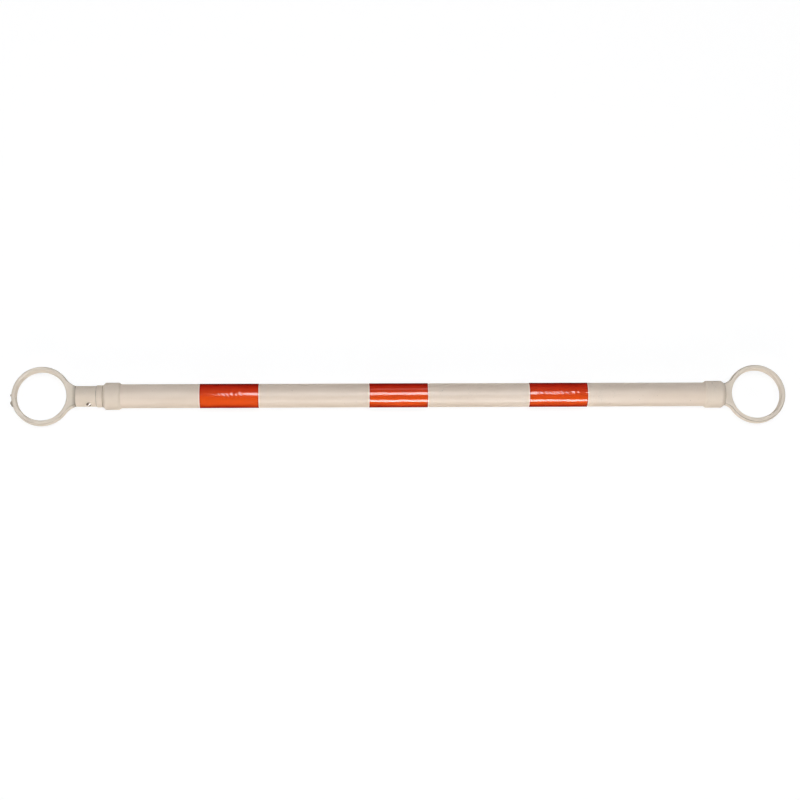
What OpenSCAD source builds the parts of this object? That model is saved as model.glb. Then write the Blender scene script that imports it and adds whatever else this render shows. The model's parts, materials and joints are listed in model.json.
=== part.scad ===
// Telescopic cone bar. Two round tubes slide in one another, and each one carries a moulded
// ring that drops over the tip of a traffic cone. Three reflective bands go round the outer tube.
// The bar is drawn pushed shut, in millimetres. It lies along X with both rings flat in XY,
// and the origin is the centre of the fixed ring's bore.

/* [Bar] */
// Length over both rings with the bar pushed shut
closed_length = 1200; // [1050:10:1500]
// Gap between the sliding ring's socket and the mouth collar with the bar pushed shut
closing_gap = 0.5; // [0.3:0.1:2]
// Gap between the stop bush and the fixed ring's socket floor with the bar pushed shut
tail_gap = 4; // [1:0.5:20]
// Gap that is left between the stop bush and the guide bush with the bar pulled out
stop_gap = 0.4; // [0.2:0.1:2]

/* [End rings] */
// Bore of each ring at its waist, which goes over a cone's tip
ring_bore = 76; // [65:1:100]
// Wall of each ring at its waist, measured along its radius
ring_wall = 8; // [6.5:0.1:10]
// Height of each ring along its bore
ring_height = 16; // [13:1:22]
// Height of the straight waist halfway up the walls of each ring and its neck
ring_waist = 6; // [3:0.5:8]
// Lean of those walls, from the waist in to each face
ring_lean = 1.5; // [0.5:0.1:2]
// Radius on the edges of each ring and its neck
ring_edge = 1.2; // [0.5:0.1:1.6]
// Distance from the outside of the fixed ring to the end of its socket
fixed_neck_reach = 4.5; // [4.5:0.5:20]
// Distance from the outside of the sliding ring to the end of its socket
sliding_neck_reach = 6.5; // [5:0.5:20]
// Step in from the end of each socket to the flank of its neck
neck_step = 0.5; // [0.3:0.1:3]
// Radius of the hollow flanks that flare the fixed ring's neck into its ring
fixed_flare = 24; // [18:1:60]
// Radius of the hollow flanks that flare the sliding ring's neck into its ring
sliding_flare = 38; // [18:1:60]
// Length of the slope that draws each neck's corners in to its socket
neck_slope = 5; // [2:0.5:6]
// Height of the trimmed gate stub at the far end of the sliding ring
gate_height = 2.4; // [0.5:0.1:3]
// Length of the gate stub round the ring
gate_length = 13; // [4:0.5:16]
// Angle from the bar's axis to the middle of the gate stub
gate_angle = 16; // [14:1:30]
// Height of the small nib of flash beside the gate stub
nib_height = 1.4; // [0.3:0.1:2]
// Length of that nib round the ring
nib_length = 4.5; // [1.5:0.5:5]
// Angle from the bar's axis to the middle of the nib
nib_angle = -1; // [-20:1:0]

/* [Tubes] */
// Outside diameter of the inner tube
inner_tube_od = 28; // [22:0.5:34]
// Wall of the inner tube
inner_tube_wall = 1.8; // [1.2:0.1:3]
// Wall of the guide bush, which fills the space between the two tubes
guide_wall = 2.1; // [1.5:0.1:4]
// Wall of the outer tube
outer_tube_wall = 2; // [1.2:0.1:3]

/* [Sockets] */
// Length of the fixed ring's socket
fixed_socket_length = 32; // [28:1:60]
// Wall of the fixed ring's socket, and of the mouth collar to match it
fixed_socket_wall = 2.4; // [1.6:0.1:4]
// Length of the slope on the side of the rings, on the fixed ring's socket and on the mouth collar
collar_slope = 5; // [2:0.5:6]
// Length of the slope on the side of the bare tube, on both of them
skirt_slope = 3; // [1.5:0.5:6]
// Wall that is left at the lip of the slope on the side of the bare tube
collar_lip = 0.4; // [0.3:0.1:1]
// Step in from the fixed ring's seat to the end of its socket at the neck
fixed_shoulder = 1.2; // [0:0.1:2]
// Length of the sliding ring's socket
sliding_socket_length = 41.5; // [30:0.5:60]
// Wall of the sliding ring's socket
sliding_socket_wall = 1.9; // [1.4:0.1:3]
// Length of the thicker rim at the mouth of the sliding ring's socket
rim_length = 9; // [4:0.5:12]
// Height of that rim above the socket
rim_height = 1.1; // [0.4:0.1:2]
// Thickness of both sockets' floors
socket_floor = 3; // [2:0.5:6]
// Radial room for cement between a tube and the piece that is stuck on it or in it
cement_gap = 0.1; // [0.05:0.01:0.2]

/* [Mouth] */
// Length of the mouth collar over the outer tube's open end
mouth_collar_length = 27.5; // [22:0.5:50]
// Thickness of the mouth collar's front wall
mouth_front = 4.4; // [3:0.1:8]
// Width of the mouth collar's flat front face, past its hole
mouth_face = 2.6; // [1.5:0.1:3]
// Length of the guide bush inside the outer tube
guide_length = 19; // [12:0.5:60]
// Thickness of the guide bush's flange
guide_flange = 2; // [1:0.1:4]
// Radial running room between the inner tube and the guide bush
guide_room = 0.3; // [0.2:0.05:0.6]

/* [Stop bush] */
// Length of the stop bush's head, which runs in the outer tube
stop_head_length = 30; // [20:1:60]
// Length of the stop bush's spigot in the inner tube
stop_spigot_length = 30; // [16:1:60]
// Wall of the stop bush's hollow core
stop_core_wall = 2.6; // [1.5:0.1:4]
// Radial running room between the stop bush's head and the outer tube
stop_room = 0.3; // [0.2:0.05:0.6]
// Width of the friction ring
friction_width = 8; // [4:0.5:12]
// Radial thickness of the friction ring
friction_thickness = 2.6; // [1.4:0.1:2.8]
// Radial fit between the friction ring and the outer tube that it rubs on
friction_fit = 0.05; // [0.02:0.01:0.1]
// Room round the friction ring in its groove
groove_room = 0.3; // [0.2:0.05:0.5]
// Width of the split in the friction ring
friction_split = 3; // [1:0.5:6]
// Diameter of the pin through the inner tube and the stop bush
pin_d = 3; // [2:0.5:5]
// Depth of each end of the pin below the inner tube's outside
pin_sink = 0.2; // [0.1:0.1:0.5]
// Radial room round the pin in its hole
pin_room = 0.05; // [0.02:0.01:0.15]

/* [Reflective bands] */
// Width of each band along the tube
band_width = 91; // [40:1:120]
// Thickness of the film
band_film = 0.2; // [0.1:0.05:0.4]
// Thickness of the adhesive under the film
band_glue = 0.05; // [0.03:0.01:0.1]
// Distance of the middle band from the middle of the bare tube, towards the mouth
band_offset = 25; // [-40:1:40]
// Distance from the middle band to the tail band
tail_band_pitch = 248; // [140:1:280]
// Distance from the middle band to the mouth band
mouth_band_pitch = 261; // [140:1:280]

/* [Ring screw] */
// Diameter of the screw's pan head
screw_head_d = 7.2; // [5:0.1:9]
// Height of the head
screw_head_h = 2.4; // [1.6:0.1:3.5]
// Diameter of the shank
screw_d = 3.5; // [2.5:0.1:4.5]
// Length of the shank
screw_length = 9; // [6:0.5:12]
// Width of the slot in the head
screw_slot = 1; // [0.6:0.1:1.6]
// Radial room round the shank in its hole
screw_room = 0.05; // [0.02:0.01:0.15]
// Angle of the screw round the bar, from straight up towards +Y
screw_tilt = 60; // [-80:1:80]
// Turn of the slot from the bar's axis
screw_turn = 45; // [0:5:175]

/* [Hidden] */
$fn = 96;

// Colours of the ivory mouldings, the ivory tubes, the film, the screw and the hidden nylon
moulding_colour = [0.82, 0.78, 0.72];
tube_colour = [0.88, 0.82, 0.76];
film_colour = [0.86, 0.26, 0.08];
steel_colour = [0.34, 0.31, 0.29];
nylon_colour = [0.93, 0.92, 0.89];

// Small chamfer on turned edges, points on a rounded edge, and overshoot of cutting shapes
break_edge = 0.5;
edge_steps = 6;
overcut = 1;
// Depth that the neck's flanks run into the ring, so that they meet it at a slight crease
flank_bite = 0.4;
// End play between flat faces that are pushed together and stuck
end_play = 0.1;
// Depth of the stubs' tops below the start of the ring's rounded edge
stub_drop = 0.6;

// Ring and neck
ring_in_r = ring_bore / 2;
ring_out_r = ring_in_r + ring_wall;
ring_mid_r = ring_in_r + ring_wall / 2;
fixed_end_x = ring_out_r + fixed_neck_reach;
sliding_end_x = ring_out_r + sliding_neck_reach;
lean_angle = atan(ring_lean / ((ring_height - ring_waist) / 2));
edge_z = ring_height / 2 - ring_edge;
edge_in = (ring_edge + (edge_z - ring_waist / 2) * sin(lean_angle)) / cos(lean_angle);

// Radii of the tubes and of what fits them
inner_r = inner_tube_od / 2;
inner_bore_r = inner_r - inner_tube_wall;
guide_bore_r = inner_r + guide_room;
guide_r = guide_bore_r + guide_wall;
outer_bore_r = guide_r + cement_gap;
outer_r = outer_bore_r + outer_tube_wall;
fixed_seat_r = outer_r + cement_gap;
fixed_socket_r = fixed_seat_r + fixed_socket_wall;
fixed_end_r = fixed_seat_r - fixed_shoulder;
sliding_seat_r = inner_r + cement_gap;
sliding_socket_r = sliding_seat_r + sliding_socket_wall;
mouth_face_r = guide_bore_r + mouth_face;

// Places along the bar
slide_x = closed_length - 2 * ring_out_r;
tube_tail_x = fixed_end_x + socket_floor + end_play;
mouth_x = slide_x - sliding_end_x - sliding_socket_length - closing_gap;
mouth_skirt_x = mouth_x - mouth_collar_length;
flange_x = mouth_x - mouth_front - end_play - guide_flange;
tube_mouth_x = flange_x - end_play;
guide_x = tube_mouth_x - guide_length;
stop_tail_x = fixed_end_x + socket_floor + tail_gap;
stop_shoulder_x = stop_tail_x + stop_head_length;
groove_x = stop_tail_x + (stop_head_length - friction_width) / 2;
pin_x = stop_shoulder_x + stop_spigot_length / 2;
inner_tail_x = stop_shoulder_x + end_play;
inner_far_x = slide_x - sliding_end_x - socket_floor - end_play;
screw_reach = sliding_end_x + sliding_socket_length / 2;
travel = guide_x - stop_gap - stop_shoulder_x;
bare_tail_x = fixed_end_x + fixed_socket_length;
middle_band_x = (bare_tail_x + mouth_skirt_x) / 2 + band_offset;

echo(travel = travel, open_length = closed_length + travel);

// Points on an arc round a centre, from one angle to another
function arc(centre, radius, from, to) =
    [for (i = [0 : edge_steps])
        let (a = from + (to - from) * i / edge_steps)
        centre + radius * [cos(a), sin(a)]];

// Solid of revolution about the bar's axis. Each point of the profile is [radius, place along X]
module turned(profile) {
    rotate([0, 90, 0])
        rotate_extrude()
            polygon(profile);
}

// Straight tube between two places along the bar
module tube(from, to, in_r, out_r) {
    turned([[in_r, from], [out_r, from], [out_r, to], [in_r, to]]);
}

// Ring about Z, whose walls lean in from a straight waist to rounded edges
module hoop() {
    low = ring_in_r + edge_in;
    high = ring_out_r - edge_in;
    rotate_extrude()
        polygon(concat(
            [[ring_out_r, -ring_waist / 2], [ring_out_r, ring_waist / 2]],
            arc([high, edge_z], ring_edge, lean_angle, 90),
            arc([low, edge_z], ring_edge, 90, 180 - lean_angle),
            [[ring_in_r, ring_waist / 2], [ring_in_r, -ring_waist / 2]],
            arc([low, -edge_z], ring_edge, 180 + lean_angle, 270),
            arc([high, -edge_z], ring_edge, 270, 360 - lean_angle)));
}

// Centre of the circle that hollows a neck's flank. It touches the ring from outside and passes
// through the flank's end at end_x, which is waist away from the bar's axis
function flank_centre(end_x, waist, flare) =
    let (
        flank_end = [end_x, waist],
        span = norm(flank_end),
        ahead = flank_end / span,
        from_ring = ring_out_r - flank_bite + flare,
        along = (from_ring ^ 2 - flare ^ 2 + span ^ 2) / (2 * span),
        aside = sqrt(from_ring ^ 2 - along ^ 2))
    along * ahead + aside * [-ahead.y, ahead.x];

// Shape that hollows one flank of a neck, and gives that flank the lean and the edges of the ring's wall
module flank_cut(flare) {
    top = ring_height / 2;
    wide = flare + edge_in;
    rotate_extrude()
        polygon(concat(
            [[0, -top - overcut], [wide, -top - overcut]],
            arc([wide, -edge_z], ring_edge, 270, 180 + lean_angle),
            [[flare, -ring_waist / 2], [flare, ring_waist / 2]],
            arc([wide, edge_z], ring_edge, 180 - lean_angle, 90),
            [[wide, top + overcut], [0, top + overcut]]));
}

// Flat neck that flares into the ring from a socket that starts at end_x with radius end_r
module neck(end_x, end_r, flare) {
    far_x = end_x + socket_floor / 2;
    slope_x = end_x - neck_slope;
    centre = flank_centre(end_x, end_r - neck_step, flare);
    far_y = far_x * centre.y / centre.x;
    clear_r = far_y + ring_height;
    intersection() {
        difference() {
            linear_extrude(ring_height, center = true)
                polygon([[0, 0], [far_x, far_y], [far_x, -far_y]]);
            cylinder(ring_height + 2 * overcut, r = ring_mid_r, center = true);
            for (side = [-1, 1])
                translate([centre.x, side * centre.y, 0])
                    flank_cut(flare);
        }
        turned([[0, 0], [clear_r, 0], [clear_r, slope_x], [end_r + neck_slope, slope_x],
            [end_r, end_x], [end_r, far_x], [0, far_x]]);
    }
}

// Shank of the ring screw along +Z, down from a surface at radius seat_r, with room round it
module screw_body(seat_r, room) {
    translate([0, 0, seat_r - screw_length])
        cylinder(screw_length + room, d = screw_d + 2 * room);
}

// Turns a shape that stands along +Z to the ring screw's place on the bar
module at_screw() {
    translate([slide_x - screw_reach, 0, 0])
        rotate([-screw_tilt, 0, 0])
            children();
}

// Ring with a socket that is cemented over the outer tube's tail
module fixed_ring() {
    floor_x = fixed_end_x + socket_floor;
    color(moulding_colour)
        union() {
            hoop();
            neck(fixed_end_x, fixed_end_r, fixed_flare);
            turned([[0, fixed_end_x], [fixed_end_r, fixed_end_x],
                [fixed_socket_r, fixed_end_x + collar_slope], [fixed_socket_r, bare_tail_x - skirt_slope],
                [fixed_seat_r + collar_lip, bare_tail_x], [fixed_seat_r, bare_tail_x],
                [fixed_seat_r, floor_x], [0, floor_x]]);
        }
}

// Extruded tube that carries the bands
module outer_tube() {
    color(tube_colour)
        tube(tube_tail_x, tube_mouth_x, outer_bore_r, outer_r);
}

// One turn of reflective film round the outer tube
module band(centre) {
    film_r = outer_r + band_glue;
    color(film_colour)
        tube(centre - band_width / 2, centre + band_width / 2, film_r, film_r + band_film);
}

module tail_band() {
    band(middle_band_x - tail_band_pitch);
}

module middle_band() {
    band(middle_band_x);
}

module mouth_band() {
    band(middle_band_x + mouth_band_pitch);
}

// Cap that is cemented over the outer tube's mouth and traps the guide bush's flange
module mouth_collar() {
    front_x = mouth_x - mouth_front;
    hole_r = guide_bore_r + end_play;
    color(moulding_colour)
        turned([[fixed_seat_r, mouth_skirt_x], [fixed_seat_r + collar_lip, mouth_skirt_x],
            [fixed_socket_r, mouth_skirt_x + skirt_slope], [fixed_socket_r, mouth_x - collar_slope],
            [mouth_face_r, mouth_x], [hole_r + break_edge, mouth_x], [hole_r, mouth_x - break_edge],
            [hole_r, front_x], [fixed_seat_r, front_x]]);
}

// Flanged sleeve in the outer tube's mouth that the inner tube runs in
module guide_bush() {
    far_x = flange_x + guide_flange;
    color(nylon_colour)
        turned([[guide_bore_r + break_edge, guide_x], [guide_r - break_edge, guide_x],
            [guide_r, guide_x + break_edge], [guide_r, flange_x], [outer_r, flange_x],
            [outer_r, far_x], [guide_bore_r, far_x], [guide_bore_r, guide_x + break_edge]]);
}

// Split ring in the stop bush's groove that rubs on the outer tube and holds the bar's length
module friction_ring() {
    rub_r = outer_bore_r - friction_fit;
    far_x = groove_x + friction_width;
    color(nylon_colour)
        difference() {
            turned([[rub_r - friction_thickness, groove_x], [rub_r - break_edge, groove_x],
                [rub_r, groove_x + break_edge], [rub_r, far_x - break_edge],
                [rub_r - break_edge, far_x], [rub_r - friction_thickness, far_x]]);
            translate([groove_x - overcut, -friction_split / 2, 0])
                cube([friction_width + 2 * overcut, friction_split, outer_r]);
        }
}

// Hollow plug pinned in the inner tube's tail, whose head guides the tube and stops it at the mouth
module stop_bush() {
    head_r = outer_bore_r - stop_room;
    groove_r = outer_bore_r - friction_fit - friction_thickness - groove_room;
    spigot_r = inner_bore_r - cement_gap;
    core_r = min(spigot_r, groove_r) - stop_core_wall;
    far_x = stop_shoulder_x + stop_spigot_length;
    core_x = stop_tail_x + stop_core_wall;
    color(nylon_colour)
        difference() {
            turned([[0, stop_tail_x], [head_r - 2 * break_edge, stop_tail_x],
                [head_r, stop_tail_x + 2 * break_edge], [head_r, groove_x - groove_room],
                [groove_r, groove_x - groove_room], [groove_r, groove_x + friction_width + groove_room],
                [head_r, groove_x + friction_width + groove_room], [head_r, stop_shoulder_x - break_edge],
                [head_r - break_edge, stop_shoulder_x], [spigot_r, stop_shoulder_x],
                [spigot_r, far_x - break_edge], [spigot_r - break_edge, far_x], [core_r, far_x],
                [core_r, core_x], [0, core_x]]);
            pin_hole();
        }
}

// Hole for the pin, straight across the bar along Z
module pin_hole() {
    translate([pin_x, 0, 0])
        cylinder(inner_tube_od + 2 * overcut, d = pin_d + 2 * pin_room, center = true);
}

// Plain pin that holds the stop bush in the inner tube, with its ends below the tube's surface
module stop_pin() {
    color(steel_colour)
        translate([pin_x, 0, 0])
            cylinder(2 * (sqrt(inner_r ^ 2 - pin_d ^ 2 / 4) - pin_sink), d = pin_d, center = true);
}

// Extruded tube that slides out of the mouth
module inner_tube() {
    color(tube_colour)
        difference() {
            tube(inner_tail_x, inner_far_x, inner_bore_r, inner_r);
            pin_hole();
            at_screw()
                screw_body(sliding_socket_r, screw_room);
        }
}

// Rough stub that is left on the mould's parting line, under the upper edge at the far side of the
// sliding ring, where plastic was trimmed off
module stub(height, length, angle) {
    tall = ring_height / 3;
    rotate([0, 0, angle])
        translate([ring_out_r, 0, edge_z - stub_drop - tall])
            linear_extrude(tall)
                polygon([[-ring_wall / 2, -length / 2], [-ring_wall / 4, -length / 2],
                    [height, -length / 6], [height / 2, length / 4],
                    [-ring_wall / 4, length / 2], [-ring_wall / 2, length / 2]]);
}

// Ring with a rimmed socket that is screwed over the inner tube's far end
module sliding_ring() {
    mouth = sliding_end_x + sliding_socket_length;
    floor_x = sliding_end_x + socket_floor;
    rim_r = sliding_socket_r + rim_height;
    rim_x = mouth - rim_length;
    color(moulding_colour)
        difference() {
            translate([slide_x, 0, 0])
                mirror([1, 0, 0])
                    union() {
                        hoop();
                        neck(sliding_end_x, sliding_socket_r, sliding_flare);
                        mirror([1, 0, 0]) {
                            stub(gate_height, gate_length, gate_angle);
                            stub(nib_height, nib_length, nib_angle);
                        }
                        turned([[0, sliding_end_x], [sliding_socket_r, sliding_end_x],
                            [sliding_socket_r, rim_x - break_edge], [rim_r, rim_x + break_edge],
                            [rim_r, mouth - break_edge], [rim_r - break_edge, mouth],
                            [sliding_seat_r, mouth], [sliding_seat_r, floor_x], [0, floor_x]]);
                    }
            at_screw()
                screw_body(sliding_socket_r, screw_room);
        }
}

// Slotted pan-head screw through the sliding ring's socket into the inner tube
module ring_screw() {
    head_r = screw_head_d / 2;
    side_h = screw_head_h / 3;
    round_r = screw_head_h - side_h;
    seat = sliding_socket_r;
    color(steel_colour)
        at_screw()
            difference() {
                union() {
                    screw_body(seat, 0);
                    translate([0, 0, seat])
                        rotate_extrude()
                            polygon(concat([[0, 0], [head_r, 0], [head_r, side_h]],
                                arc([head_r - round_r, side_h], round_r, 0, 90), [[0, screw_head_h]]));
                }
                translate([0, 0, seat + screw_head_h])
                    rotate([0, 0, screw_turn])
                        cube([2 * screw_head_d, screw_slot, screw_head_h], center = true);
            }
}

fixed_ring();
outer_tube();
tail_band();
middle_band();
mouth_band();
mouth_collar();
guide_bush();
friction_ring();
stop_bush();
stop_pin();
inner_tube();
sliding_ring();
ring_screw();
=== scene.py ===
# Telescopic cone bar, pushed shut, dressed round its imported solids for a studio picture.
# The bar lies along X with its fixed ring at the origin. Every length is in metres.
import json

import bpy
import numpy as np
from mathutils import Matrix, Vector


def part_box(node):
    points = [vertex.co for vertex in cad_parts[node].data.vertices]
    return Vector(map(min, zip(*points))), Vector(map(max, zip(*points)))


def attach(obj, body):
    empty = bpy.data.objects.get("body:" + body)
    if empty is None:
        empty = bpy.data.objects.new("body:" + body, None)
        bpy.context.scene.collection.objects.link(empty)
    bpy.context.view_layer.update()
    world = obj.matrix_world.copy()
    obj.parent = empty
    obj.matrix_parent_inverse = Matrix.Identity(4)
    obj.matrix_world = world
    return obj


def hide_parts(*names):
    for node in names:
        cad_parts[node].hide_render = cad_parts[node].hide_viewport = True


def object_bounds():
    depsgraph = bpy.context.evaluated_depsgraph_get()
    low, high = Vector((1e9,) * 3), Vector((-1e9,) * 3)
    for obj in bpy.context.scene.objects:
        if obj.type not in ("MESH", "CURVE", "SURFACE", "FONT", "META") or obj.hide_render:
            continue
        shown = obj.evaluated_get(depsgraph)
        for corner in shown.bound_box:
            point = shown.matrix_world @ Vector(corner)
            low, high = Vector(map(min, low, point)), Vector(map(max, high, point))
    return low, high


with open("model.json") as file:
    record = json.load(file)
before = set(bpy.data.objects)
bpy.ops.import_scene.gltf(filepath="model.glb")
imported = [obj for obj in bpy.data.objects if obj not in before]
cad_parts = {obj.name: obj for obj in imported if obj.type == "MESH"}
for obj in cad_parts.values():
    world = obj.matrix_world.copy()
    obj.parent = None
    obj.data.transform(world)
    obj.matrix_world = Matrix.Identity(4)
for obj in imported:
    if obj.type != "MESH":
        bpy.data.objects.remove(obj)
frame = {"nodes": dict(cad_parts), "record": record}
nodes = frame["nodes"]
solid_low, solid_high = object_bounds()


# Outer tube: an extruded pipe of ivory plastic, cemented into the fixed ring at its tail and into the
# mouth collar at its mouth. The die leaves fine lines along it, and handling leaves light scuffs.
mm = 0.001
tube_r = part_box("outer_tube")[1].z
tube_wall = 2.0 * mm
tube_edge = 0.4 * mm
tube_sides = 160
tube_step = 20 * mm
adhesive_width = 3.4 * mm


def paint(red, green, blue):
    """The linear colour of an sRGB colour given from 0 to 255, by the standard curve."""
    share = np.array([red, green, blue]) / 255
    linear = np.where(share <= 0.04045, share / 12.92, ((share + 0.055) / 1.055) ** 2.4)
    return (*linear.tolist(), 1.0)


class Wire:
    """An output socket of a material. Arithmetic on it adds Math nodes, and node() adds any other kind."""

    def __init__(self, tree, socket):
        self.tree = tree
        self.socket = socket

    def node(self, kind, settings, inputs, output=0):
        """Adds a node of this type: its settings first, then the value or the wire of each input."""
        made = self.tree.nodes.new(kind)
        for name, value in settings.items():
            setattr(made, name, value)
        for name, value in inputs.items():
            if isinstance(value, Wire):
                self.tree.links.new(value.socket, made.inputs[name])
            else:
                made.inputs[name].default_value = value
        return Wire(self.tree, made.outputs[output])

    def math(self, operation, *values):
        """Adds a Math node of this operation on numbers and wires."""
        return self.node("ShaderNodeMath", {"operation": operation}, dict(enumerate(values)))

    def __add__(self, other):
        return self.math("ADD", self, other)

    __radd__ = __add__

    def __mul__(self, other):
        return self.math("MULTIPLY", self, other)

    __rmul__ = __mul__

    def __sub__(self, other):
        return self.math("SUBTRACT", self, other)

    def __rsub__(self, other):
        return self.math("SUBTRACT", other, self)

    def __abs__(self):
        return self.math("ABSOLUTE", self)

    def step(self, low, high):
        """0 up to low and 1 from high on, with a smooth rise between, or a fall where low is the larger."""
        start, end, first, last = (low, high, 0.0, 1.0) if low < high else (high, low, 1.0, 0.0)
        span = {"Value": self, "From Min": start, "From Max": end, "To Min": first, "To Max": last}
        return self.node("ShaderNodeMapRange", {"interpolation_type": "SMOOTHSTEP"}, span)

    def line(self, place, width):
        """1 on a line where this value is place, falling smoothly to 0 half a width to either side."""
        return abs(self - place).step(width / 2, 0)

    def mix(self, under, over):
        """The colour under where this value is 0, over where it is 1, and a blend between."""
        return self.node("ShaderNodeMix", {"data_type": "RGBA"}, {0: self, 6: under, 7: over}, 2)

    def noise(self, grains, detail=2.0):
        """Cloudy noise from 0 to 1 on these coordinates, with this many grains to the metre on each axis."""
        stretched = self.node("ShaderNodeMapping", {}, {"Vector": self, "Scale": grains})
        return self.node("ShaderNodeTexNoise", {}, {"Vector": stretched, "Scale": 1.0, "Detail": detail})

    def axes(self):
        """The X, Y and Z of these coordinates, as three wires."""
        parts = self.node("ShaderNodeSeparateXYZ", {}, {0: self}).socket.node.outputs
        return [Wire(self.tree, part) for part in parts]

    def bump(self):
        """The surface's normal with this height, in metres, raised on it."""
        return self.node("ShaderNodeBump", {}, {"Height": self, "Distance": 1.0})


def new_finish(name):
    """An empty material, and the wire of the coordinates of the piece that wears it, in the bar's frame."""
    made = bpy.data.materials.new(name)
    made.use_nodes = True
    start = Wire(made.node_tree, None)
    return made, start.node("ShaderNodeTexCoord", {}, {}, "Object")


def set_finish(finish, **sockets):
    """Sets or links sockets of a material's shader. Base_Color stands for the socket named Base Color."""
    shader = finish.node_tree.nodes["Principled BSDF"]
    for name, value in sockets.items():
        socket = shader.inputs[name.replace("_", " ")]
        if isinstance(value, Wire):
            finish.node_tree.links.new(value.socket, socket)
        else:
            socket.default_value = value
    return finish


def ivory_pipe(name, rubs, sealed=()):
    """Extruded ivory plastic. Die lines are noise drawn out along the bar, scuffs are thin bends in a
    longer noise, and rubs, from 0 to 1, says how much sliding has marked the pipe lengthwise. At each place
    in sealed a pale line of adhesive goes round it."""
    ivory = paint(235, 218, 201)
    ivory_shade = paint(229, 211, 193)
    scuff_grey = paint(196, 184, 170)
    speck_brown = paint(150, 132, 112)
    adhesive = paint(255, 244, 232)
    finish, place = new_finish(name)
    along = place.axes()[0]
    die_lines = place.noise((6, 900, 900), 3)
    clouds = place.noise((9, 40, 40))
    scuffs = place.noise((30, 130, 130), 1).line(0.5, 0.016) * place.noise((7, 25, 25)).step(0.52, 0.7)
    rubbed = place.noise((4, 600, 600), 1).step(0.55, 0.75) * rubs
    specks = place.noise((700, 700, 700), 0).step(0.83, 0.86)
    plain = clouds.step(0.3, 0.7).mix(ivory_shade, ivory)
    scuffed = (scuffs * 0.45 + rubbed * 0.5).mix(plain, scuff_grey)
    colour = (specks * 0.6).mix(scuffed, speck_brown)
    for seal_x in sealed:
        colour = (along.line(seal_x, adhesive_width) * 0.9).mix(colour, adhesive)
    height = die_lines * (0.012 * mm) - scuffs * (0.02 * mm) + place.noise((120, 120, 120)) * (0.04 * mm)
    return set_finish(finish, Base_Color=colour, Roughness=0.42 + die_lines * 0.1 + scuffs * 0.15,
                      Specular_IOR_Level=0.11, Normal=height.bump())


def woven(name, grid, wraps_across=True):
    """A mesh on a grid of points, one quad to a cell. The rows close on themselves. The columns close too
    where the grid wraps across, and otherwise the first and last column are capped."""
    rows, columns = grid.shape[:2]
    index = np.arange(rows * columns).reshape(rows, columns)
    caps = [] if wraps_across else [index[::-1, 0].tolist(), index[:, -1].tolist()]
    index = np.vstack([index, index[:1]])
    index = np.hstack([index, index[:, :1]]) if wraps_across else index
    quads = np.stack([index[:-1, :-1], index[1:, :-1], index[1:, 1:], index[:-1, 1:]], axis=2)
    mesh = bpy.data.meshes.new(name)
    mesh.from_pydata(grid.reshape(-1, 3).tolist(), [], quads.reshape(-1, 4).tolist() + caps)
    mesh.polygons.foreach_set("use_smooth", np.arange(len(mesh.polygons)) < len(quads.reshape(-1, 4)))
    made = bpy.data.objects.new(name, mesh)
    bpy.context.scene.collection.objects.link(made)
    return made


def rounded(corners, radius, steps=6):
    """Rounds the corners of a closed outline. A corner's arc touches both sides at a distance of the radius
    times the tangent of half the turn, and heads evenly from one side's direction to the other's."""
    corners = np.array(corners)
    before = corners - np.roll(corners, 1, axis=0)
    after = np.roll(before, -1, axis=0)
    turn = np.arctan2(before[:, 0] * after[:, 1] - before[:, 1] * after[:, 0], (before * after).sum(axis=1))
    heading = np.arctan2(before[:, 1], before[:, 0])
    ahead = np.stack([np.cos(heading), np.sin(heading)], axis=1)
    left = np.stack([-ahead[:, 1], ahead[:, 0]], axis=1)
    bend = (radius * np.sign(turn))[:, None]
    centre = corners - ahead * (radius * np.tan(abs(turn) / 2))[:, None] + bend * left
    sweep = heading[:, None] + turn[:, None] * np.linspace(0, 1, steps)
    arcs = centre[:, None] + bend[:, None] * np.stack([np.sin(sweep), -np.cos(sweep)], axis=2)
    return arcs.reshape(-1, 2)


def spaced(outline, step):
    """Adds points to a closed outline so that none lie further apart than step: each side is cut into the
    fewest equal lengths that are short enough."""
    along = np.roll(outline, -1, axis=0) - outline
    cuts = np.maximum(np.ceil(np.linalg.norm(along, axis=1) / step), 1).astype(int)
    side = np.repeat(np.arange(len(outline)), cuts)
    share = (np.arange(len(side)) - (np.cumsum(cuts) - cuts)[side]) / cuts[side]
    return outline[side] + along[side] * share[:, None]


def turned(name, outline, sides, relief=None):
    """Turns a closed outline of points (x, r) about the bar's axis: at the angle a, from straight up
    towards +Y, a point goes to (x, r sin a, r cos a). Relief gives what to add to r at each x, r and a."""
    angles = np.linspace(0, 2 * np.pi, sides, endpoint=False)
    x, r, a = np.broadcast_arrays(outline[:, :1], outline[:, 1:], angles)
    r = r if relief is None else r + relief(x, r, a)
    return woven(name, np.stack([x, r * np.sin(a), r * np.cos(a)], axis=2))


def pipe(name, node, wall, finish, body):
    """A pipe with softly broken edges that stands for a tube of the frame: the outside from end to end,
    then back along the bore."""
    low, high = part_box(node)
    corners = [(low.x, high.z), (high.x, high.z), (high.x, high.z - wall), (low.x, high.z - wall)]
    made = turned(name, spaced(rounded(corners, tube_edge), tube_step), tube_sides)
    made.data.materials.append(finish)
    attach(made, body)
    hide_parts(node)
    return made


band_names = ("tail_band", "middle_band", "mouth_band")
band_ends = [corner.x for name in band_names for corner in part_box(name)]
pipe("outer_pipe", "outer_tube", tube_wall, ivory_pipe("ivory_outer_pipe", 0.15, band_ends), "outer")


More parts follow.
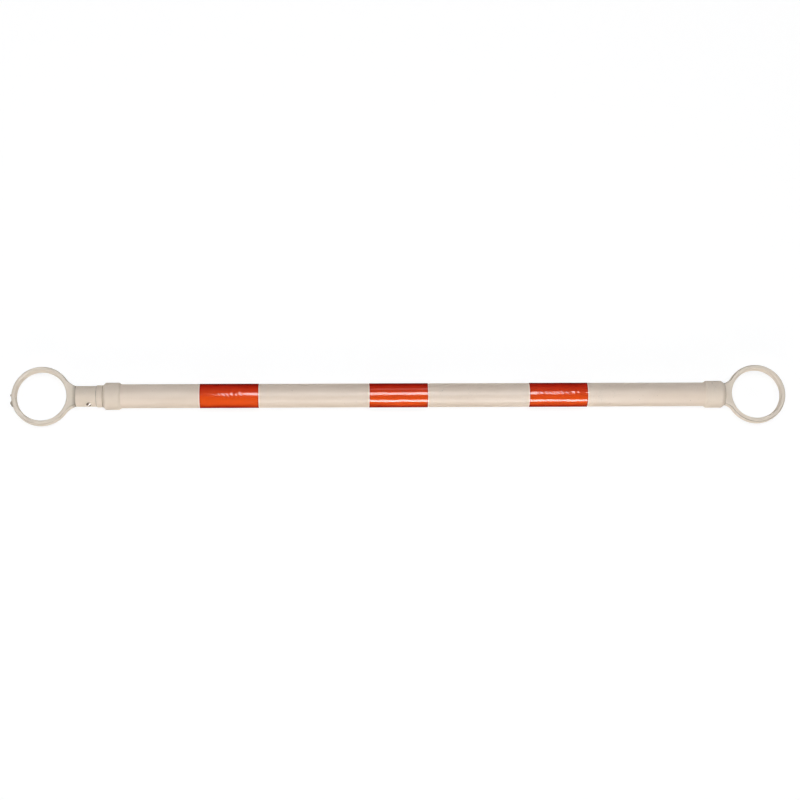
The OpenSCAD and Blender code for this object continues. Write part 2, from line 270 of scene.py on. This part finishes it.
# Reflective bands: orange film with a clear glossy face over a layer of fine glass beads, cut as strips,
# laid round the tube by hand and lapped over themselves underneath. Here and there it has creased.
film_thickness = 0.2 * mm
film_lap = 8 * mm
film_ramp = 4 * mm
film_stations = 150
film_turns = 420
film_floor = 0.15 * mm
lap_lift = 1.15 * film_thickness
edge_settle = 3 * mm
start_settle = 6 * mm
slow_count = 6
slow_lengths = (14 * mm, 40 * mm)
slow_slants = (0, np.pi)
crease_count = 5
crease_spread = 0.6
crease_slants = (0.3, 1.2)
crease_reach = 9 * mm
crease_fade_round = 3 * mm
crease_fade_along = 8 * mm
# For each band: the random seed, the height of its slow waves, the height and the longest spacing of its
# creases, and the middle and the half length of the stretch that is creased.
bands = {
    "tail_band": (11, 0.035 * mm, 0.12 * mm, 8 * mm, 2 * mm, 36 * mm),
    "middle_band": (5, 0.008 * mm, 0.0, 8 * mm, 0.0, 0.0),
    "mouth_band": (7, 0.02 * mm, 0.075 * mm, 7 * mm, -8 * mm, 27 * mm)}


def film_relief(x, s, seed, wave_height, crease_height, crease_length, crease_x, crease_half):
    """Unevenness of film laid by hand, at a place x along the band and s round it from its crown. It is a
    sum of sine waves: a few long ones, and short slanting ones on the creased patch of the crown. Where it
    would go down into the tube, the film lies flat on it."""
    draw = np.random.default_rng(seed)

    def waves(count, lengths, slants, height):
        length = draw.uniform(*lengths, (count, 1, 1))
        slant = draw.uniform(*slants, (count, 1, 1))
        phase = draw.uniform(0, 2 * np.pi, (count, 1, 1))
        across = x[None] * np.cos(slant) + s[None] * np.sin(slant)
        return height * np.sin(2 * np.pi * across / length + phase).sum(axis=0) / np.sqrt(count)

    lengthwise = np.clip((crease_half - abs(x - crease_x)) / crease_fade_along, 0, 1)
    creased = lengthwise * np.clip((crease_reach - abs(s)) / crease_fade_round, 0, 1)
    crease_lengths = (crease_length * crease_spread, crease_length)
    slow = waves(slow_count, slow_lengths, slow_slants, wave_height)
    short = waves(crease_count, crease_lengths, crease_slants, crease_height)
    return np.maximum(slow + creased * short, -film_floor)


def reflective_film():
    """Orange film. Going round the bar from the far side it turns from maroon to red to orange, and back to
    a
    dark orange low on the near side: these darker colours on the far side and low on the near side are
    painted shade, and the orange stands for the lit film. Beads are a fine grain, the cut edges show the
    pale carrier, and a darker line runs beside them. The attribute edge is the way to the cut."""
    maroon = paint(112, 8, 3)
    red = paint(208, 26, 4)
    orange = paint(238, 82, 6)
    dark_orange = paint(160, 28, 5)
    bead_orange = paint(240, 100, 24)
    edge_darkening = paint(110, 26, 12)
    carrier_pale = paint(252, 232, 218)
    finish, place = new_finish("orange_reflective_film")
    across, up = place.axes()[1:]
    edge = place.node("ShaderNodeAttribute", {"attribute_name": "edge"}, {}, "Fac")
    beads = place.noise((2600, 2600, 2600), 1)
    clouds = place.noise((35, 60, 60), 3)
    # Painted shade: round the bar the film darkens from orange to red and maroon on the far side, and to
    # dark orange low on the near side.
    lean = across.math("ARCTAN2", across, up) + (clouds - 0.5) * 0.35
    far_side = lean.step(np.radians(-75), np.radians(-25)).mix(maroon, red)
    far_shade_to_lit = lean.step(np.radians(-50), np.radians(42)).mix(far_side, orange)
    face = lean.step(np.radians(48), np.radians(85)).mix(far_shade_to_lit, dark_orange)
    grained = (beads.step(0.45, 0.8) * 0.15).mix(face, bead_orange)
    # A darker line just inside each cut edge of the film.
    darkened_edges = (edge.line(1.1 * mm, 2.0 * mm) * 0.5).mix(grained, edge_darkening)
    carrier = edge.step(0.5 * mm, 0.2 * mm)
    colour = (carrier * 0.9).mix(darkened_edges, carrier_pale)
    upper = lean.step(np.radians(-45), np.radians(-12)) * lean.step(np.radians(75), np.radians(50))
    return set_finish(finish, Base_Color=colour, Roughness=0.5 + beads * 0.1, Specular_IOR_Level=0.0,
                      Coat_Weight=0.04 + upper * (1 - carrier) * 0.21, Coat_Roughness=0.05, Coat_IOR=1.5,
                      Normal=(beads * (0.004 * mm)).bump())


def film_band(node, laid, finish):
    """A strip of film carried round the bar. Its section runs across the outside, then back along the tube,
    and its path is a circle whose radius grows by the film's thickness where it laps over its start."""
    low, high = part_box(node)
    laid_r = high.z - film_thickness
    half = (high.x - low.x) / 2
    outside = np.linspace(-half, half, film_stations)
    inside = np.linspace(half, -half, 3)
    x = np.concatenate([outside, inside])[:, None]
    lift = np.repeat([1.0, 0.0], [len(outside), len(inside)])[:, None]
    round_once = 2 * np.pi * laid_r
    s = np.linspace(0, round_once + film_lap, film_turns)[None]
    over = np.clip((s - round_once + film_ramp) / film_ramp, 0, 1)
    lapped = over * over * (3 - 2 * over) * lap_lift
    edge = half - abs(x)
    settled = np.clip(edge / edge_settle, 0, 1) * np.clip(s / start_settle, 0, 1) * (1 - over)
    relief = film_relief(x, s - round_once / 2, *laid) * settled
    r = laid_r + lapped + lift * (film_thickness + relief)
    a = np.pi + s / laid_r
    middle = (low.x + high.x) / 2
    grid = np.stack(np.broadcast_arrays(middle + x, r * np.sin(a), r * np.cos(a)), axis=2)
    made = woven(node.replace("band", "film"), grid, wraps_across=False)
    ways = made.data.attributes.new("edge", "FLOAT", "POINT")
    ways.data.foreach_set("value", np.broadcast_to(edge, r.shape).ravel().astype(np.float32))
    made.data.materials.append(finish)
    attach(made, "outer")
    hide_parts(node)
    return made


orange_film = reflective_film()
for band, laid in bands.items():
    film_band(band, laid, orange_film)


# Fixed ring: one ivory moulding of ring, neck and socket, cemented to the tube. A fine darker line runs
# along the ring's upper edge, and painted shade lies in the crease between neck and socket.
ring_out_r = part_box("fixed_ring")[1].y
ring_wall = 8 * mm
ring_waist = 6 * mm
ring_top = 8 * mm
wall_lean = 0.3
fixed_neck_reach = 4.5 * mm
edge_line_z = 7.3 * mm
edge_line_width = 1.6 * mm
crease_width = 2.2 * mm
neck_shade_length = 6.6 * mm
moulding_light = paint(236, 221, 204)
moulding_dark = paint(229, 214, 197)
ring_lit_light = paint(240, 228, 212)
ring_lit_dark = paint(233, 221, 205)
moulding_scuff = paint(188, 178, 164)
# The one dark colour for the mouldings' painted shade, darker lines and stubs.
darkening_brown = paint(112, 98, 80)
rim_shade = 0.65
stub_darkening = 0.6
no_stub_x = 10.0


def ivory_moulding(name, shade_lines, ring_x=0.0, ring_reach=0.0, end_r=0.0, edge_line=0.0, neck_shade_share=0.0,
                   stub_x=no_stub_x):
    """Moulded ivory plastic with a fine spark texture. Ring and neck are painted a lighter, cooler ivory:
    the cooler tone is the moulding's own, the extra lightness is painted light on their flat faces. A darker
    line runs at the upper edge of ring and neck, outside the ring's middle radius and within ring_reach of
    its centre at ring_x, and the edge line's strength, from 0 to 1, is how dark it is. Painted shade lies in
    the crease at ring_reach, close to the neck and at the rim of the socket's end, whose radius is end_r,
    and fades out along the neck with a strength from 0 to 1. Lines of painted shade at steps and gaps go
    round the bar too, each given as (x, width, strength). What stands out of the ring beyond stub_x is a
    torn stub, painted darker. Scuffs are bends in a noise."""
    finish, place = new_finish(name)
    x, y, z = place.axes()
    spark = place.noise((1500, 1500, 1500), 2)
    clouds = place.noise((28, 28, 28), 3)
    blotches = place.noise((60, 90, 90)).step(0.25, 0.5)
    scuffs = place.noise((70, 70, 70), 1).line(0.5, 0.02) * place.noise((22, 22, 22)).step(0.5, 0.68)
    patchy = 0.5 + blotches * 0.5
    ahead = x - ring_x
    reach = abs(ahead)
    away = x.math("SQRT", ahead * ahead + y * y)
    outside = away.step(ring_out_r - ring_wall * 0.6, ring_out_r - ring_wall * 0.3)
    on_ring = outside * reach.step(ring_reach, ring_reach - mm)
    # A darker line along the upper outer edge of ring and neck.
    darkening = z.line(edge_line_z, edge_line_width) * on_ring * (0.6 + blotches * 0.4) * edge_line
    out = y.math("SQRT", y * y + z * z)
    # Painted shade in the crease between neck and socket, fading along the neck and lying on the socket's
    # rim.
    by_neck = abs(z).step(ring_top + 2.0 * mm, ring_top + 0.8 * mm)
    by_rim = out.step(end_r - 0.6 * mm, end_r - 0.2 * mm) * rim_shade
    crease = reach.line(ring_reach, crease_width) * x.math("MAXIMUM", by_neck, by_rim)
    on_neck = reach.step(ring_reach - 0.1 * mm, ring_reach - 0.4 * mm)
    neck_shade = reach.step(ring_reach - neck_shade_length, ring_reach - mm) * on_neck * neck_shade_share
    darkening = darkening + (crease + neck_shade) * patchy
    for line_x, width, strength in shade_lines:
        darkening = darkening + x.line(line_x, width) * patchy * strength
    wall_r = ring_out_r - x.math("MAXIMUM", abs(z) - ring_waist / 2, 0.0) * wall_lean
    # The torn stub is painted darker.
    torn = (away - wall_r).step(0.1 * mm, 0.4 * mm) * x.step(stub_x, stub_x + mm)
    mottled = clouds.step(0.3, 0.7)
    # Ring and neck are painted lighter and cooler: partly the moulding's own tone, partly painted light on
    # their flat faces.
    ring_and_neck = reach.step(ring_reach + 0.3 * mm, ring_reach - 0.3 * mm)
    ring_colour = mottled.mix(ring_lit_dark, ring_lit_light)
    plain = ring_and_neck.mix(mottled.mix(moulding_dark, moulding_light), ring_colour)
    scuffed = (scuffs * 0.4).mix(plain, moulding_scuff)
    colour = x.math("MINIMUM", darkening + torn * stub_darkening, 1.0).mix(scuffed, darkening_brown)
    height = spark * (0.02 * mm) - scuffs * (0.02 * mm) + clouds * (0.1 * mm)
    return set_finish(finish, Base_Color=colour, Roughness=0.48 + spark * 0.12 + scuffs * 0.1,
                      Specular_IOR_Level=0.05, Normal=height.bump())


fixed_crease = ring_out_r + fixed_neck_reach
fixed_end_r = 16.9 * mm
nodes["fixed_ring"].material_slots[0].material = ivory_moulding(
    "ivory_fixed_ring", [], ring_reach=fixed_crease, end_r=fixed_end_r, edge_line=0.9)


# Guide bush: a flanged sleeve of natural nylon in the outer tube's mouth, turned from bar, which the inner
# tube runs in. The mouth collar holds its flange.
def natural_nylon(name):
    """Milky nylon, turned to size: rings of tool marks along the bar over cloudy colour."""
    milky = paint(242, 239, 230)
    milky_shade = paint(232, 228, 214)
    marks_per_metre = 9000
    finish, place = new_finish(name)
    along = place.axes()[0]
    clouds = place.noise((60, 60, 60), 3)
    marks = along.math("SINE", along * marks_per_metre + clouds * 3)
    colour = clouds.step(0.3, 0.7).mix(milky_shade, milky)
    return set_finish(finish, Base_Color=colour, Roughness=0.4 + clouds * 0.15, Subsurface_Weight=0.1,
                      Normal=(marks * (0.006 * mm)).bump())


bare_nylon = natural_nylon("natural_nylon_turned")
nodes["guide_bush"].material_slots[0].material = bare_nylon


# Mouth collar: an ivory moulded cap, cemented over the outer tube's mouth. Both its ends slope, its edges
# are softly rounded, and a small dimple on its crown marks where the plastic went in.
collar_low, collar_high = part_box("mouth_collar")
collar_r = collar_high.z
collar_edge = 0.6 * mm
collar_slope = 3.8 * mm
skirt_slope = 3.4 * mm
collar_lip = 0.4 * mm
collar_front = 4.4 * mm
collar_face_r = 16.9 * mm
collar_hole_r = 14.4 * mm
collar_seat_r = tube_r + 0.1 * mm
collar_step = 0.8 * mm
collar_sides = 220
spot_back = 5.6 * mm
spot_angle = 0.06
spot_r = 1.8 * mm
spot_depth = 0.4 * mm


def collar_spot(x, r, a):
    """A shallow round dimple: spot_depth deep inside the spot's radius, rising over a third of it to the
    wall, on the outside only."""
    away = np.hypot(x - collar_low.x - spot_back, r * (np.mod(a - spot_angle + np.pi, 2 * np.pi) - np.pi))
    return -spot_depth * np.clip(3 - 3 * away / spot_r, 0, 1) * (r > collar_r - collar_edge)


collar_corners = [
    (collar_low.x, collar_seat_r + collar_lip), (collar_low.x + skirt_slope, collar_r),
    (collar_high.x - collar_slope, collar_r), (collar_high.x, collar_face_r),
    (collar_high.x, collar_hole_r), (collar_high.x - collar_front, collar_hole_r),
    (collar_high.x - collar_front, collar_seat_r), (collar_low.x, collar_seat_r)]
collar_edges = np.array([0.2, 1, 1, 1, 1, 1, 0.3, 0.2]) * collar_edge
collar_outline = spaced(rounded(collar_corners, collar_edges), collar_step)
collar = turned("mouth_cap", collar_outline, collar_sides, collar_spot)
# Painted shade on the collar's front face, at the gap by the sliding ring's rim.
collar_gap_shade = (collar_high.x, 1.2 * mm, 0.25)
collar.data.materials.append(ivory_moulding("ivory_mouth_cap", [collar_gap_shade]))
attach(collar, "outer")
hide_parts("mouth_collar")


# Stop bush, friction ring and stop pin: the hidden tail of the inner tube. A nylon bush guides the tube in
# the outer one, a split nylon ring in its groove rubs on the bore and holds the length, and a steel pin
# ties the bush to the tube.
def bare_steel(name, bright_way, bright_place):
    """Dull plated steel, browned with age. A bright line is painted where the way along bright_way, measured
    from the origin, is within half the line's width of bright_place: wear on the pin, and a painted
    highlight on the screw's slot."""
    brown = paint(58, 46, 38)
    dull_grey = paint(96, 82, 70)
    wear_and_glint = paint(246, 242, 236)
    bright_width = 2.8 * mm
    finish, place = new_finish(name)
    clouds = place.noise((900, 900, 900), 3)
    brushed = place.noise((400, 6000, 6000), 1)
    measured = {0: place, 1: bright_way}
    way = place.node("ShaderNodeVectorMath", {"operation": "DOT_PRODUCT"}, measured, "Value")
    # On the screw this bright line is a painted highlight along the slot; on the pin it is wear.
    bright = way.line(bright_place, bright_width).step(0.25, 0.6)
    dull = clouds.step(0.35, 0.65).mix(brown, dull_grey)
    colour = bright.mix(dull, wear_and_glint)
    return set_finish(finish, Base_Color=colour, Metallic=0.55 + bright * 0.4,
                      Roughness=0.5 - bright * 0.2 + brushed * 0.1, Normal=(clouds * (0.02 * mm)).bump())


nodes["stop_bush"].material_slots[0].material = bare_nylon
nodes["friction_ring"].material_slots[0].material = bare_nylon
nodes["stop_pin"].material_slots[0].material = bare_steel("pin_steel", (0, 0, 1), 0.0)


# Inner tube: a narrower ivory pipe that slides out of the mouth, so it is rubbed lengthwise.
# Its far end is screwed into the sliding ring's socket.
inner_wall = 1.8 * mm
pipe("inner_pipe", "inner_tube", inner_wall, ivory_pipe("ivory_inner_pipe", 0.8), "inner")


# Sliding ring: a moulding like the fixed ring, with a longer, slimmer socket that ends in a rim. The stubs
# of its trimmed gate stand on the far side of the ring.
slide_x = frame["record"]["mounts"][1]["pos_m"][0]
sliding_neck_reach = 6.5 * mm
sliding_socket_length = 41.5 * mm
sliding_end_r = 16 * mm
rim_length = 9 * mm
sliding_crease = slide_x - ring_out_r - sliding_neck_reach
rim_face = sliding_crease - sliding_socket_length
# Painted shade at the rim's step and on the rim's face beside the collar.
sliding_lines = [(rim_face + rim_length + 0.5 * mm, 1.3 * mm, 0.9), (rim_face, 1.2 * mm, 0.3)]
nodes["sliding_ring"].material_slots[0].material = ivory_moulding(
    "ivory_sliding_ring", sliding_lines, ring_x=slide_x, ring_reach=slide_x - sliding_crease,
    end_r=sliding_end_r, edge_line=0.3, neck_shade_share=0.42, stub_x=slide_x)


# Ring screw: a slotted pan-head screw of plated steel, through the sliding ring's socket into the inner
# tube. Its head has gone brown, and a painted highlight lies along the slot.
screw_tilt = np.radians(60)
slot_turn = np.radians(45)
screw_low, screw_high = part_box("ring_screw")
screw_x = (screw_low.x + screw_high.x) / 2
round_way = Vector((0, np.cos(screw_tilt), -np.sin(screw_tilt)))
slot_way = round_way * np.cos(slot_turn) - Vector((np.sin(slot_turn), 0, 0))
nodes["ring_screw"].material_slots[0].material = bare_steel(
    "screw_steel_browned", slot_way, slot_way.x * screw_x)


# Floor: a plain pale sheet that the bar lies on, resting on its two collars. The eye and gloss see it as
# white paper, and it still takes the bar's soft shadow.
floor_half = 30.0
floor_bounce = 0.9
floor_shade = 0.17
floor_white = 0.88


def grey(level):
    """The grey of this linear brightness."""
    return (level, level, level, 1.0)


def seen(start):
    """1 for rays that come from the camera, gloss or glass, and 0 for those that light things."""
    rays = [start.node("ShaderNodeLightPath", {}, {}, name)
            for name in ("Is Camera Ray", "Is Glossy Ray", "Is Transmission Ray")]
    return rays[0].math("MAXIMUM", rays[0], rays[1].math("MAXIMUM", rays[1], rays[2]))


floor_corners = np.array([(-1, -1), (1, -1), (1, 1), (-1, 1)]) * floor_half
floor_mesh = bpy.data.meshes.new("floor")
floor_mesh.from_pydata([(x, y, solid_low.z) for x, y in floor_corners], [], [(0, 1, 2, 3)])
floor = bpy.data.objects.new("floor", floor_mesh)
bpy.context.scene.collection.objects.link(floor)
paper, paper_place = new_finish("white_paper")
fibres = paper_place.noise((40, 40, 40)).step(0.2, 0.8)
shade_colour = fibres.mix(grey(floor_shade), grey(floor_shade * 1.03))
bounce = paper_place.node("ShaderNodeBsdfDiffuse", {}, {"Color": grey(floor_bounce)})
shade = paper_place.node("ShaderNodeBsdfDiffuse", {}, {"Color": shade_colour})
glow = paper_place.node("ShaderNodeEmission", {}, {"Strength": floor_white})
shown = paper_place.node("ShaderNodeAddShader", {}, {0: shade, 1: glow})
sheet = paper_place.node("ShaderNodeMixShader", {}, {0: seen(paper_place), 1: bounce, 2: shown})
paper.node_tree.links.new(sheet.socket, paper.node_tree.nodes["Material Output"].inputs["Surface"])
floor_mesh.materials.append(paper)


# Light: a pale room, a soft box overhead, another low on the +Y side, and weak ones at the ends and on the
# far side. Three more lamps show only in reflections: two panels of tubes, which make the film's streaks
# along the bar, and a faint window on the far side.
room_light = 0.08
bar_middle_x = (solid_low.x + solid_high.x) / 2
scene = bpy.context.scene
scene.world = bpy.data.worlds.new("pale_room")
scene.world.use_nodes = True
room = scene.world.node_tree
background = room.nodes["Background"]
sky = seen(Wire(room, None)) * (1 - room_light) + room_light
room.links.new(sky.socket, background.inputs["Strength"])
background.inputs["Color"].default_value = grey(1.0)


def soft_box(name, lean, middle_x, distance, size, power, colour, gloss):
    """An area lamp that faces the bar. Lean is how far it stands from straight up, in degrees towards +X
    and towards +Y. A gloss lamp shows only in reflections, and the others only light the surfaces."""
    lamp = bpy.data.lights.new(name, "AREA")
    lamp.shape = "RECTANGLE"
    lamp.size, lamp.size_y = size
    lamp.energy = power
    lamp.color = colour
    made = bpy.data.objects.new(name, lamp)
    scene.collection.objects.link(made)
    along, across = np.radians(lean)
    way = Vector((np.sin(along), np.sin(across) * np.cos(along), np.cos(across) * np.cos(along)))
    aside = Vector((0, np.cos(across), -np.sin(across))).cross(way)
    turn = Matrix((aside, way.cross(aside), way)).transposed()
    made.matrix_world = Matrix.Translation(Vector((middle_x, 0, 0)) + way * distance) @ turn.to_4x4()
    made.visible_glossy = gloss
    made.visible_diffuse = not gloss
    made.visible_camera = False


white = (1.0, 1.0, 1.0)
warm = (1.0, 0.945, 0.875)
cool = (0.935, 0.96, 1.0)
long_away = 3.0
long_size = (3.0, 1.0)
end_away = 3.5
end_size = (1.5, 1.5)
soft_box("overhead_box", (0, -1), bar_middle_x, long_away, long_size, 53, cool, False)
soft_box("low_box", (0, 69), bar_middle_x, long_away, long_size, 40, warm, False)
soft_box("tail_box", (-55, 0), bar_middle_x, end_away, end_size, 5, cool, False)
soft_box("mouth_box", (55, 0), bar_middle_x, end_away, end_size, 12, cool, False)
soft_box("far_box", (0, -70), bar_middle_x, long_away, long_size, 3, cool, False)
soft_box("overhead_tubes", (0, -5), 0.503, 1.5, (0.86, 0.68), 83, white, True)
soft_box("low_tubes", (0, 66), 0.27, 2.0, (1.14, 0.76), 143, white, True)
soft_box("far_window", (0, -51), 0.48, 2.0, (0.26, 0.5), 2, white, True)


# Camera: almost straight above the bar on its +Y side, the sliding ring to the left.
# The picture is square, and the angles are those that the photograph's outlines give.
elevation = np.radians(79.0)
yaw = np.radians(2.43)
roll = np.radians(-0.2)
distance = 2.7
aim = Vector((0.554, 0, 0))
aim_right = 1.77
aim_down = -4.69
focal_pixels = 1741.3
picture_pixels = 800.0
sensor_width = 36.0
camera_data = bpy.data.cameras.new("camera")
camera_data.sensor_width = sensor_width
camera_data.lens = sensor_width * focal_pixels / picture_pixels
camera = bpy.data.objects.new("camera", camera_data)
scene.collection.objects.link(camera)
level_right = Vector((-1, 0, 0))
level_back = Vector((0, np.cos(elevation), np.sin(elevation)))
right = level_right * np.cos(yaw) + level_back * np.sin(yaw)
back = level_back * np.cos(yaw) - level_right * np.sin(yaw)
up = back.cross(right)
rolled_right = right * np.cos(roll) + up * np.sin(roll)
rolled_up = up * np.cos(roll) - right * np.sin(roll)
eye = aim + (back + (rolled_up * aim_down - rolled_right * aim_right) / focal_pixels) * distance
facing = Matrix((rolled_right, rolled_up, back)).transposed()
camera.matrix_world = Matrix.Translation(eye) @ facing.to_4x4()
scene.camera = camera
scene.view_settings.view_transform = "Standard"
